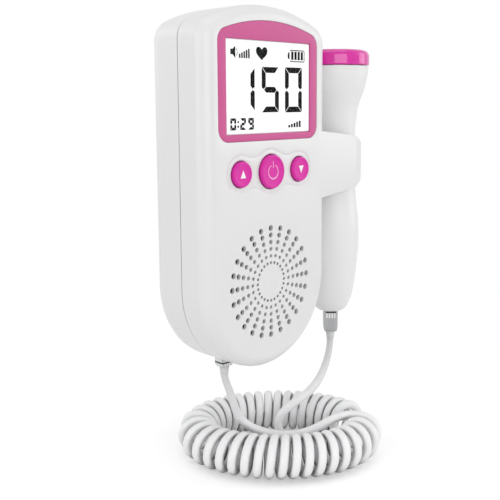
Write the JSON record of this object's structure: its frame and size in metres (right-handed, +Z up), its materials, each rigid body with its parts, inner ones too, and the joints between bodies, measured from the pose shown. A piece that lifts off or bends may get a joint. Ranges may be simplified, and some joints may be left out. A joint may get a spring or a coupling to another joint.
{
  "type": "fetal doppler monitor",
  "caption": "Hand-held heartbeat monitor with a display, push buttons, a round grille, and a probe in a side clip on a curly cord.",
  "frame": {"origin": "on the flat back of the casing, level with the loudspeaker's centre", "axes": "+Z up towards the display, -Y out of the face, +X to the viewer's right on the face, where the probe hangs"},
  "size_m": [0.1001, 0.0756, 0.1807],
  "materials": {
    "casing_white": "satin",
    "bezel_pink": "satin",
    "button_pink": "satin",
    "cap_magenta": "glossy",
    "window_clear": "polished",
    "display_face": "satin",
    "light_panel": "matte",
    "strip_rubber": "matte",
    "circuit_green": "satin",
    "black_plastic": "matte",
    "cell_wrap": "satin",
    "contact_nickel": "satin",
    "screw_steel": "satin",
    "speaker_metal": "satin",
    "cloth_black": "woven",
    "foam_black": "matte",
    "transducer_ceramic": "satin",
    "backing_rubber": "matte",
    "plug_clear": "glossy",
    "cord_white": "satin"
  },
  "bodies": {
    "monitor": {"front_cover": "casing_white", "back_cover": "casing_white", "button_surround": "casing_white", "display_bezel": "bezel_pink", "display_window": "window_clear", "display_glass": "display_face", "back_light": "light_panel", "contact_strip": "strip_rubber", "switch_up": "black_plastic", "switch_power": "black_plastic", "switch_down": "black_plastic", "main_board": "circuit_green", "signal_chip": "black_plastic", "board_screw_left_high": "screw_steel", "board_screw_left_low": "screw_steel", "board_screw_right_high": "screw_steel", "board_screw_right_low": "screw_steel", "case_screw_left_high": "screw_steel", "case_screw_left_low": "screw_steel", "case_screw_right_high": "screw_steel", "case_screw_right_low": "screw_steel", "speaker": "speaker_metal", "speaker_cloth": "cloth_black", "speaker_gasket": "foam_black", "cell_left": "cell_wrap", "cell_right": "cell_wrap", "contact_bridge": "contact_nickel", "contact_plus": "contact_nickel", "contact_minus": "contact_nickel", "unit_socket": "black_plastic", "unit_plug": "plug_clear", "cord_lead_unit": "cord_white", "cord_coil": "cord_white", "cord_lead_probe": "cord_white"},
    "up_button": {"button_up": "button_pink"},
    "power_button": {"button_power": "button_pink"},
    "down_button": {"button_down": "button_pink"},
    "door": {"battery_door": "casing_white"},
    "probe": {"probe_housing": "casing_white", "probe_cap": "cap_magenta", "transducer_disc": "transducer_ceramic", "transducer_backing": "backing_rubber", "probe_board": "circuit_green", "probe_socket": "black_plastic", "probe_plug": "plug_clear"}
  },
  "joints": [
    {"name": "up_press", "type": "slide", "parent": "monitor", "child": "up_button", "axis": [0, 1, 0], "range_m": [0, 0.0006], "stiffness_N_per_m": 800, "springref_m": -0.0005},
    {"name": "power_press", "type": "slide", "parent": "monitor", "child": "power_button", "axis": [0, 1, 0], "range_m": [0, 0.0006], "stiffness_N_per_m": 800, "springref_m": -0.0005},
    {"name": "down_press", "type": "slide", "parent": "monitor", "child": "down_button", "axis": [0, 1, 0], "range_m": [0, 0.0006], "stiffness_N_per_m": 800, "springref_m": -0.0005},
    {"name": "door_tilt", "type": "hinge", "parent": "monitor", "child": "door", "pos_m": [0, -0.00085, 0.03265], "axis": [-1, 0, 0], "range_deg": [0, 75]},
    {"name": "probe_release", "type": "slide", "parent": "monitor", "child": "probe", "axis": [0, 1, 0], "range_m": [0, 0.04]}
  ]
}
